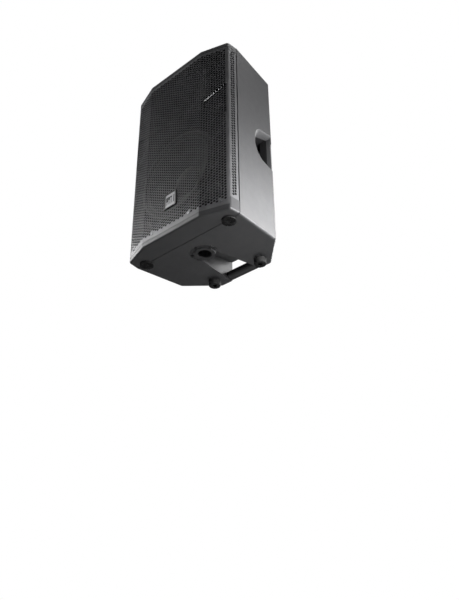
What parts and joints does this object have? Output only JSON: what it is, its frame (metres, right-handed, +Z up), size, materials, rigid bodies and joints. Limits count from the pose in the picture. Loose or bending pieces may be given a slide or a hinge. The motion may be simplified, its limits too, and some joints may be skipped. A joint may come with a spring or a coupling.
{
  "type": "pa speaker",
  "caption": "Tall moulded two-way powered loudspeaker cabinet with a faceted steel grille, side and rear hand grips, rubber feet, a pole socket and a recessed amplifier panel.",
  "frame": {"origin": "middle of the pole socket's bore, on its axis, 51.5 mm above the plane of the front shell's underside", "axes": "+X to the right as the front is seen, +Y from front to rear, +Z up"},
  "size_m": [0.384, 0.3162, 0.615],
  "materials": {
    "cabinet_plastic": "moulded polypropylene with a fine matt grain",
    "soft_black_plastic": "smooth matt black moulding",
    "grille_steel": "powder coated perforated steel, satin",
    "badge_black": "satin gloss black frame",
    "badge_silver": "brushed, anodised silver",
    "screw_steel": "zinc plated",
    "black_screw": "black oxide",
    "rubber": "matt black rubber",
    "gasket_foam": "closed cell foam",
    "brass": "turned brass",
    "wadding": "polyester fleece",
    "cast_basket": "die cast, dark coated",
    "cone_paper": "ribbed paper pulp",
    "surround_cloth": "coated cloth",
    "spider_cloth": "resin treated cloth",
    "copper": "enamelled copper winding",
    "plated_iron": "zinc plated iron",
    "ferrite": "sintered dark grey ceramic magnet",
    "horn_plastic": "matt black moulding",
    "titanium": "thin formed foil",
    "panel_black": "black powder coat",
    "heat_sink_black": "black anodised extrusion",
    "sheet_steel": "galvanised sheet",
    "board_green": "fibreglass circuit board",
    "board_blue": "fibreglass circuit board",
    "transformer_yellow": "taped winding",
    "capacitor_sleeve": "shrink sleeve",
    "connector_black": "moulded connector body",
    "connector_metal": "nickel plated",
    "rocker_red": "moulded red rocker",
    "knob_plastic": "soft touch moulding",
    "display_glass": "tinted window",
    "button_grey": "light grey cap",
    "cable_red": "insulated cable"
  },
  "bodies": {
    "cabinet": {"front_shell": "cabinet_plastic", "rear_shell": "cabinet_plastic", "shell_gasket": "gasket_foam", "shell_screws": "black_screw", "grille": "grille_steel", "grille_screws": "screw_steel", "badge_frame": "badge_black", "badge_plate": "badge_silver", "front_feet": "rubber", "rear_feet": "rubber", "base_screws": "black_screw", "pole_cup": "soft_black_plastic", "rear_grip": "soft_black_plastic", "left_handle_cup": "soft_black_plastic", "right_handle_cup": "soft_black_plastic", "rigging_inserts": "brass", "port_tubes": "soft_black_plastic", "damping_wadding": "wadding", "woofer_basket": "cast_basket", "woofer_gasket": "gasket_foam", "woofer_surround": "surround_cloth", "woofer_spider": "spider_cloth", "woofer_top_plate": "plated_iron", "woofer_magnet": "ferrite", "woofer_yoke": "plated_iron", "driver_screws": "black_screw", "horn": "horn_plastic", "hf_pole_plate": "plated_iron", "hf_phase_plug": "soft_black_plastic", "hf_magnet": "ferrite", "hf_back_cover": "soft_black_plastic", "amp_plate": "panel_black", "amp_gasket": "gasket_foam", "amp_screws": "screw_steel", "heat_sink": "heat_sink_black", "amp_cover": "sheet_steel", "amp_board": "board_green", "transformer": "transformer_yellow", "capacitors": "capacitor_sleeve", "input_board": "board_blue", "input_jacks": "connector_black", "link_output": "connector_metal", "power_inlet": "connector_black", "rocker_frame": "connector_black", "gain_controls": "connector_metal", "display_bezel": "connector_black", "display_window": "display_glass", "speaker_cables": "cable_red"},
    "woofer_moving": {"woofer_cone": "cone_paper", "woofer_dust_cap": "cone_paper", "woofer_voice_coil": "copper"},
    "hf_moving": {"hf_diaphragm": "titanium"},
    "gain_1": {"gain_knob_1": "knob_plastic"},
    "gain_2": {"gain_knob_2": "knob_plastic"},
    "encoder_push": {"encoder_plunger": "button_grey"},
    "encoder_turn": {"encoder_knob": "knob_plastic"},
    "rocker": {"power_rocker": "rocker_red"},
    "button": {"input_button": "button_grey"},
    "latch_1": {"jack_latch_1": "connector_metal"},
    "latch_2": {"jack_latch_2": "connector_metal"}
  },
  "joints": [
    {"name": "woofer_travel", "type": "slide", "parent": "cabinet", "child": "woofer_moving", "axis": [0, -1, 0], "range_m": [-0.006, 0.006], "deforming": ["woofer_surround", "woofer_spider"]},
    {"name": "hf_travel", "type": "slide", "parent": "cabinet", "child": "hf_moving", "axis": [0, -1, 0], "range_m": [-0.0003, 0.0003]},
    {"name": "gain_1_turn", "type": "hinge", "parent": "cabinet", "child": "gain_1", "pos_m": [0.048, 0.162, 0.2535], "axis": [0, -1, 0], "range_deg": [-150, 150]},
    {"name": "gain_2_turn", "type": "hinge", "parent": "cabinet", "child": "gain_2", "pos_m": [0.012, 0.162, 0.2535], "axis": [0, -1, 0], "range_deg": [-150, 150]},
    {"name": "encoder_press", "type": "slide", "parent": "cabinet", "child": "encoder_push", "axis": [0, -1, 0], "range_m": [0, 0.0005]},
    {"name": "encoder_spin", "type": "hinge", "parent": "encoder_push", "child": "encoder_turn", "pos_m": [-0.034, 0.162, 0.2965], "axis": [0, -1, 0], "continuous": true},
    {"name": "rocker_tilt", "type": "hinge", "parent": "cabinet", "child": "rocker", "pos_m": [0.018, 0.15, 0.1405], "axis": [1, 0, 0], "range_deg": [-8, 8]},
    {"name": "button_press", "type": "slide", "parent": "cabinet", "child": "button", "axis": [0, -1, 0], "range_m": [0, 0.0015]},
    {"name": "latch_1_press", "type": "slide", "parent": "cabinet", "child": "latch_1", "axis": [0, -1, 0], "range_m": [0, 0.002]},
    {"name": "latch_2_press", "type": "slide", "parent": "cabinet", "child": "latch_2", "axis": [0, -1, 0], "range_m": [0, 0.002]}
  ]
}
